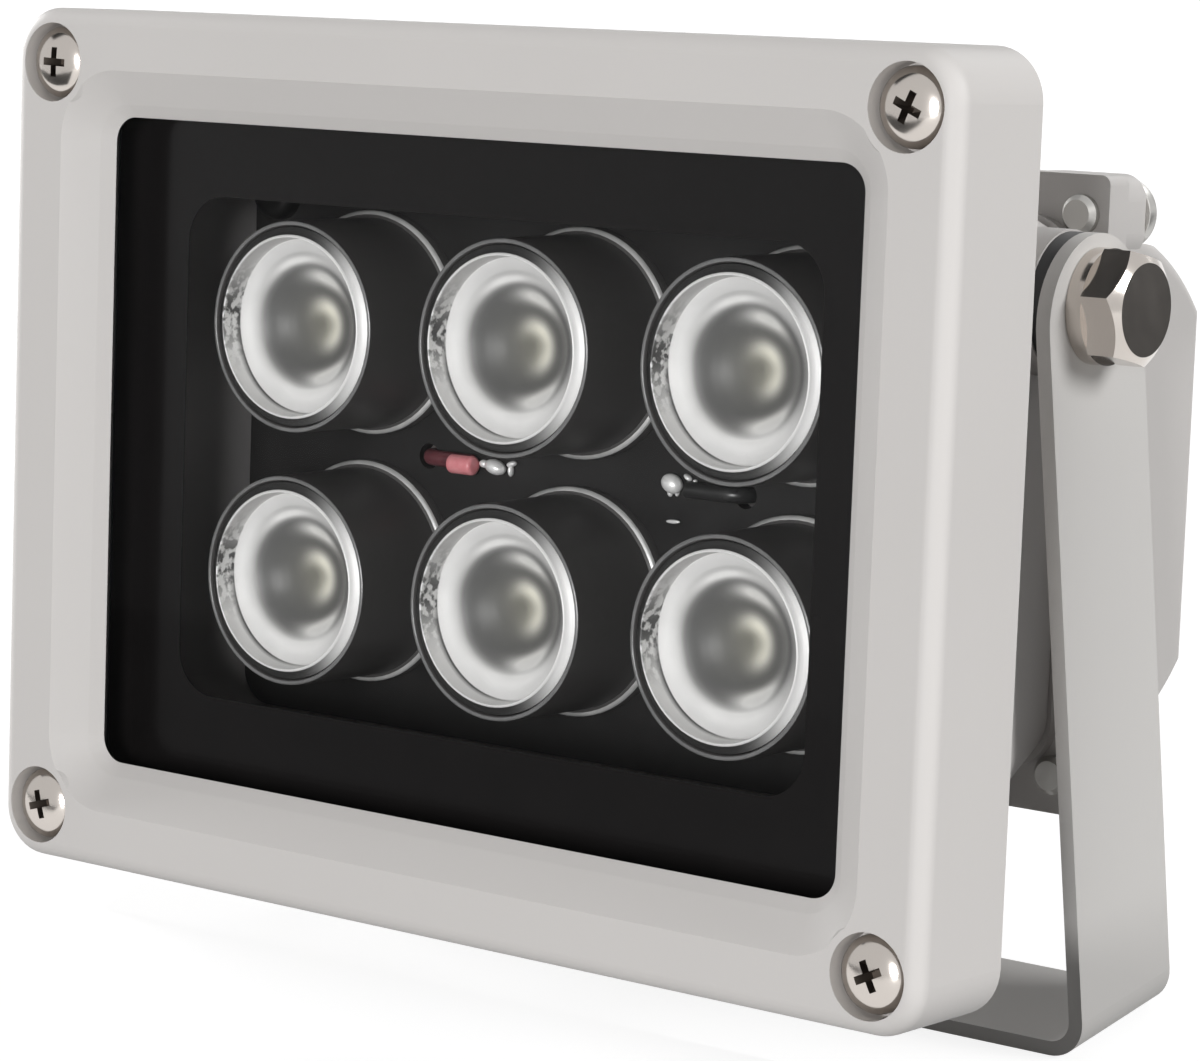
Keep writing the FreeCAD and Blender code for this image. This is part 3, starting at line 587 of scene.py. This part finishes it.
# The faces of the mouth and of the foot get the painted highlights.
for face in cup.data.polygons:
    radius = math.hypot(face.center.x, face.center.z)
    if face.center.y < LIP_Y + 0.1:
        face.material_index = 1
    if radius > 11.0 and face.center.y < 21.9:
        face.material_index = 2
smooth(cup, 40)
for number, (x, z) in enumerate(lens_places, start=1):
    holder = copy_to(cup, f"holder_{number}", HEAD @ Matrix.Translation((x, 0, z)))
    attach(holder, "head")
    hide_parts(f"lens_holder_{number}")
bpy.data.objects.remove(cup)

# %% [markdown]
# The bezel's screws have domed pan heads with a cross recess. Head and shank are turned from
# one profile, and the cross is cut with a boolean of two tapered bars. One screw is modelled
# and copied, and each copy is turned a little differently, as tightened screws are.

# %% Bezel screws
SEAT_DEPTH, HEAD_HEIGHT = 3.0, 2.9
CROSS_LONG, CROSS_DEEP, CROSS_WIDE = 3.9, 2.7, 0.85
dome = [(0.0, 0.1), (1.3, 0.15), (2.2, 0.32), (2.95, 0.62), (3.4, 0.98), (3.6, 1.4),
        (3.62, SEAT_DEPTH - 0.1), (3.55, SEAT_DEPTH), (2.0, SEAT_DEPTH),
        (2.0, SEAT_DEPTH + 9.3), (1.5, SEAT_DEPTH + 10), (0.0, SEAT_DEPTH + 10)]
screw = lathe("screw_model", nickel, dome, 48)


def cross_bar(turn_deg):
    deselect()
    bpy.ops.mesh.primitive_cube_add(size=1, location=(0, SEAT_DEPTH - HEAD_HEIGHT + 0.45, 0))
    bar = named("cross_bar", nickel)
    bar.scale = (CROSS_LONG, CROSS_DEEP, CROSS_WIDE)
    bake(bar, Matrix.Identity(4))
    pick(bar, "FACE", lambda co, normal: normal.y > 0.5)
    bpy.ops.transform.resize(value=(0.35, 1, 0.7))
    return bake(bar, Matrix.Rotation(math.radians(turn_deg), 4, "Y"))


for turn in (0, 90):
    bar = cross_bar(turn)
    deselect()
    bpy.context.view_layer.objects.active = screw
    screw.select_set(True)
    recess = screw.modifiers.new("recess", "BOOLEAN")
    recess.operation = "DIFFERENCE"
    recess.solver = "EXACT"
    recess.object = bar
    bpy.ops.object.modifier_apply(modifier=recess.name)
    bpy.data.objects.remove(bar)
recess_dark = plated("recess_shade", (0.13, 0.11, 0.095), 0.4)
screw.data.materials.append(recess_dark.material)
for face in screw.data.polygons:
    radius = math.hypot(face.center.x, face.center.z)
    sunk = face.center.y - SEAT_DEPTH + HEAD_HEIGHT
    if radius < 2.1 and 0.3 + 0.08 * radius ** 2 < sunk < HEAD_HEIGHT - 0.05:
        face.material_index = 1
smooth(screw, 35)

SCREW_X, SCREW_Z = 52.02, 38.17
screws = []
for x, z, turn in ((-1, 1, 2), (1, 1, 24), (-1, -1, -16), (1, -1, -26)):
    spot = Matrix.Translation((x * SCREW_X, 0, z * SCREW_Z)) @ Matrix.Rotation(math.radians(turn), 4, "Y")
    screws.append(copy_to(screw, "bezel_screw", HEAD @ spot))
bezel_screws = joined("bezel_screw_heads", screws)
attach(bezel_screws, "head")
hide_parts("bezel_screws")
print("screw faces:", len(bezel_screws.data.polygons))

# %% [markdown]
# The rear cover's screws come from the same model, a little flatter and with a thinner and
# longer shank, whose tip stands out of the front of each ear. They face backwards.

# %% Rear cover screws
REAR_X, REAR_Z, EAR_BACK = 41.0, 27.5, 54.3
REAR_WIDE, REAR_FLAT = 0.972, 0.8
SHANK_THIN, SHANK_LONG = 0.772, 1.2875
FLATTER = Matrix.Diagonal((REAR_WIDE, REAR_FLAT, REAR_WIDE, 1.0))
pick(screw, "VERT", lambda co, normal: co.y > SEAT_DEPTH - 0.01 and math.hypot(co.x, co.z) < 2.1)
bpy.ops.transform.resize(value=(SHANK_THIN, SHANK_LONG, SHANK_THIN),
                         center_override=(0, SEAT_DEPTH, 0))
bpy.ops.object.mode_set(mode="OBJECT")
screw.data.materials[0] = zinc.material
rears = []
for x, z, turn in ((-1, 1, 10), (1, 1, 31), (-1, -1, -20), (1, -1, 4)):
    spot = (Matrix.Translation((x * REAR_X, EAR_BACK + REAR_FLAT * SEAT_DEPTH, z * REAR_Z))
            @ Matrix.Rotation(math.pi, 4, "Z") @ Matrix.Rotation(math.radians(turn), 4, "Y") @ FLATTER)
    rears.append(copy_to(screw, "rear_screw", HEAD @ spot))
bpy.data.objects.remove(screw)
rear_screws = joined("rear_screw_heads", rears)
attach(rear_screws, "head")
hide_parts("rear_cover_screws")
print("rear screw faces:", len(rear_screws.data.polygons))

# %% [markdown]
# The two leads come through the board and are soldered down. The red one loops out of its
# hole to a short fat sleeve, and drops of solder follow it. The black one keeps its solid
# and only gets drops of solder, and one thin white drop beside it is a painted highlight.
# Drops start as spheres that are squashed in edit mode, and
# the loop is a short round tube spun about a centre beside the hole.

# %% Lead finishes
sleeve_red = Finish("red_sleeve", (0.80, 0.22, 0.25), 0.34)
sleeve_red.mottle(1.0, (0.72, 0.16, 0.19), (0.98, 0.46, 0.48))
wire_red = Finish("red_wire", (0.10, 0.02, 0.03), 0.35)
wire_red.mottle(0.8, (0.05, 0.012, 0.018), (0.20, 0.06, 0.07))
solder = Finish("solder", (0.95, 0.95, 0.94), 0.32, 0.25)
solder.wire("Roughness", 0.22 + solder.noise(0.8, 2.0) * 0.25)


# %% Blobs and loops
def blob(name, finish, x, z, size_x, size_y, size_z, lean_deg=0.0):
    """A drop on the board: sizes are half its width, height and breadth."""
    deselect()
    bpy.ops.mesh.primitive_uv_sphere_add(segments=24, ring_count=12, radius=1)
    piece = named(name, finish)
    piece.scale = (size_x, size_y, size_z)
    bake(piece, Matrix.Translation((x, BOARD_FACE - size_y * 0.6, z))
         @ Matrix.Rotation(math.radians(lean_deg), 4, "Y"))
    pick(piece, "VERT", lambda co, normal: co.y > BOARD_FACE - 0.02)
    bpy.ops.transform.resize(value=(1, 0, 1), center_override=(x, BOARD_FACE - 0.02, z))
    bpy.ops.object.mode_set(mode="OBJECT")
    smooth(piece, 60)
    return piece


def bent_wire(name, finish, start, radius, centre, axis, turn_deg):
    """A round wire that starts at a point and swings about an axis."""
    deselect()
    out = (Vector(start) - Vector(centre)).normalized()
    run = Vector(axis).cross(out)
    bpy.ops.mesh.primitive_circle_add(vertices=14, radius=radius, location=start,
                                      rotation=run.to_track_quat("Z", "Y").to_euler())
    piece = named(name, finish)
    bake(piece, Matrix.Identity(4))
    bpy.ops.object.mode_set(mode="EDIT")
    bpy.ops.mesh.select_all(action="SELECT")
    bpy.ops.mesh.spin(steps=18, angle=math.radians(turn_deg), center=centre, axis=axis)
    bpy.ops.mesh.select_all(action="SELECT")
    bpy.ops.mesh.normals_make_consistent(inside=False)
    bpy.ops.object.mode_set(mode="OBJECT")
    smooth(piece, 60)
    return piece


def sleeve(name, finish, x0, x1, z, radius):
    """A fat sleeve that lies along the board, a little narrower at its ends."""
    deselect()
    bpy.ops.mesh.primitive_cylinder_add(vertices=28, radius=radius, depth=abs(x1 - x0),
                                        location=((x0 + x1) / 2, BOARD_FACE - radius, z),
                                        rotation=(0, math.pi / 2, 0))
    piece = named(name, finish)
    bake(piece, Matrix.Identity(4))
    pick(piece, "EDGE", lambda a, b: abs(a.x - b.x) < 0.01)
    bpy.ops.mesh.bevel(offset=radius * 0.4, segments=4)
    bpy.ops.object.mode_set(mode="OBJECT")
    smooth(piece, 50)
    return piece


# %% Red lead
RED_X, LEAD_Z = -20.0, -0.3
SLEEVE_FROM, SLEEVE_TO, SLEEVE_Z, SLEEVE_R = -16.3, -13.1, -0.6, 1.0
LOOP_R, WIRE_R, LOOP_DEG = 1.7, 0.75, 178
red_parts = [
    sleeve("red_sleeve_barrel", sleeve_red, SLEEVE_FROM, SLEEVE_TO, SLEEVE_Z, SLEEVE_R),
    bent_wire("red_loop", wire_red, (RED_X, BOARD_FACE, LEAD_Z), WIRE_R,
              (RED_X + LOOP_R, BOARD_FACE, LEAD_Z), (0.35, 0, 1), LOOP_DEG)]
red_lead = joined("red_lead_end", red_parts)
bake(red_lead, HEAD)
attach(red_lead, "head")
dress(wire_red, "red_lead")
print("red lead faces:", len(red_lead.data.polygons))

# %% Solder and a painted highlight
# Each drop: x and z of its middle, half its width, height and breadth, and its lean in degrees.
# The long thin one at x 16 is a painted highlight on the black lead, not solder.
SOLDER_AND_HIGHLIGHT_DROPS = ((-12.5, -0.35, 0.55, 0.45, 0.40, 8), (-10.8, -0.50, 1.25, 0.9, 0.75, 14),
         (-8.9, -0.05, 0.60, 0.45, 0.30, -18), (-9.0, -0.70, 0.28, 0.40, 0.62, 0),
         (11.5, 0.05, 1.20, 0.9, 0.95, 20), (11.1, -0.8, 0.32, 0.35, 0.50, 0),
         (11.9, -0.75, 0.25, 0.3, 0.45, 0), (13.2, 0.80, 0.50, 0.40, 0.25, 30),
         (14.0, 0.50, 0.25, 0.25, 0.18, 0), (16.0, -0.52, 0.75, 0.35, 0.28, 0),
         (11.5, -3.7, 0.85, 0.22, 0.20, -3), (-18.6, -0.1, 0.35, 0.9, 0.25, 0))
drops = [blob("drop", solder, *measures) for measures in SOLDER_AND_HIGHLIGHT_DROPS]
joints = joined("solder_joints_and_highlight", drops)
bake(joints, HEAD)
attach(joints, "head")
print("drops of solder:", len(drops))

# %% [markdown]
# The room is white and soft. The floor and the world look white to the camera and in
# reflections, but give the object only a plain amount of light, so that the paint's colour
# comes out as it is written and the shaded underside stays dark.


# %% Floor and world
def seen_directly(finish):
    """1 for rays from the camera, a mirror or glass, 0 for light that bounces."""
    path = finish.tree.nodes.new("ShaderNodeLightPath")
    rays = [Signal(finish, path.outputs[kind])
            for kind in ("Is Camera Ray", "Is Glossy Ray", "Is Transmission Ray")]
    return rays[0].math("MAXIMUM", rays[1]).math("MAXIMUM", rays[2])


FLOOR_GLOW, WORLD_SHOWN, WORLD_LIGHT = 0.84, 1.0, 0.11
FLOOR_RADIUS = 6.0
floor_white = Finish("floor_white", (0.36, 0.36, 0.36), 0.9)
glow = floor_white.node("ShaderNodeEmission", None, {"Color": (1, 1, 1, 1), "Strength": FLOOR_GLOW})
dim = floor_white.node("ShaderNodeBsdfDiffuse", None, {"Color": (0.26, 0.26, 0.26, 1)})
pale = floor_white.node("ShaderNodeBsdfDiffuse", None, {"Color": (0.30, 0.30, 0.30, 1)})
bright = floor_white.node("ShaderNodeAddShader", None, {0: glow, 1: pale})
shown = floor_white.node("ShaderNodeMixShader", None, {0: seen_directly(floor_white), 1: dim, 2: bright})
floor_white.tree.links.new(shown.socket, floor_white.tree.nodes["Material Output"].inputs["Surface"])

deselect()
bpy.ops.mesh.primitive_circle_add(vertices=96, radius=FLOOR_RADIUS, fill_type="NGON")
floor = named("floor", floor_white)

world = bpy.data.worlds.new("room")
bpy.context.scene.world = world
world.use_nodes = True
tree = world.node_tree
path = tree.nodes.new("ShaderNodeLightPath")
white = tree.nodes.new("ShaderNodeBackground")
white.inputs["Strength"].default_value = WORLD_SHOWN
ambient = tree.nodes.new("ShaderNodeBackground")
ambient.inputs["Strength"].default_value = WORLD_LIGHT
choose = tree.nodes.new("ShaderNodeMixShader")
either = tree.nodes.new("ShaderNodeMath")
either.operation = "MAXIMUM"
any_direct = tree.nodes.new("ShaderNodeMath")
any_direct.operation = "MAXIMUM"
tree.links.new(path.outputs["Is Camera Ray"], either.inputs[0])
tree.links.new(path.outputs["Is Glossy Ray"], either.inputs[1])
tree.links.new(either.outputs[0], any_direct.inputs[0])
tree.links.new(path.outputs["Is Transmission Ray"], any_direct.inputs[1])
tree.links.new(any_direct.outputs[0], choose.inputs[0])
tree.links.new(ambient.outputs[0], choose.inputs[1])
tree.links.new(white.outputs[0], choose.inputs[2])
tree.links.new(choose.outputs[0], tree.nodes["World Output"].inputs["Surface"])


# %% [markdown]
# Four soft lamps do the rest. One stands low in front, so that the bezel's upper and lower
# slopes come out alike. One from far left and one from the right, a little behind, light
# the slopes that face them and the bracket's leg, and a weak one lights the back. Three
# black cards give the glass and the plated parts something dark to mirror, and only mirrors
# see them. A fourth, narrow one under the head isn't seen at all and only casts a shadow.


# %% Lamps and cards
HEAD_MIDDLE = Vector((0, 0, 0.06))
LAMP_DISTANCE = 2.2


def round_about(azimuth_deg, height_deg, distance):
    """A place round the head: azimuth 0 is in front of it, and +90 on its right."""
    turn, rise = math.radians(azimuth_deg), math.radians(height_deg)
    return Vector((math.sin(turn) * math.cos(rise), -math.cos(turn) * math.cos(rise),
                   math.sin(rise))) * distance + HEAD_MIDDLE


def facing(place, target):
    return (Vector(target) - Vector(place)).to_track_quat("-Z", "Y").to_euler()


def soft_lamp(name, place, size, power):
    deselect()
    bpy.ops.object.light_add(type="AREA", location=place, rotation=facing(place, HEAD_MIDDLE))
    lamp = bpy.context.object
    lamp.name = name
    lamp.data.shape = "DISK"
    lamp.data.size = size
    lamp.data.energy = power


def black_card(name, place, target, width, height, shades=False):
    deselect()
    bpy.ops.mesh.primitive_plane_add(size=1, location=place, rotation=facing(place, target))
    card = named(name, card_black)
    card.scale = (width, height, 1)
    card.visible_camera = card.visible_diffuse = False
    card.visible_glossy, card.visible_shadow = not shades, shades


soft_lamp("front_lamp", round_about(17, 12, LAMP_DISTANCE), 0.8, 41)
soft_lamp("left_lamp", round_about(-96, 14, LAMP_DISTANCE), 1.0, 46)
soft_lamp("right_lamp", round_about(103, 24, LAMP_DISTANCE), 1.0, 36)
soft_lamp("back_lamp", round_about(184, 25, LAMP_DISTANCE), 1.2, 10)
card_black = Finish("card_black", (0.01, 0.01, 0.01), 0.9)
black_card("card_low", (-0.75, -0.85, 0.004), (-0.75, -0.85, 0.5), 1.3, 1.3)
black_card("card_back", (0.30, 0.24, 0.004), (0.30, 0.24, 0.5), 0.40, 0.40)
black_card("card_high", round_about(-79, 49, 0.7), (0, 0, 0.08), 0.5, 0.5)
black_card("flag", (0.0, -0.022, 0.0075), (0.0, -0.5, 0.0075), 0.14, 0.016, shades=True)
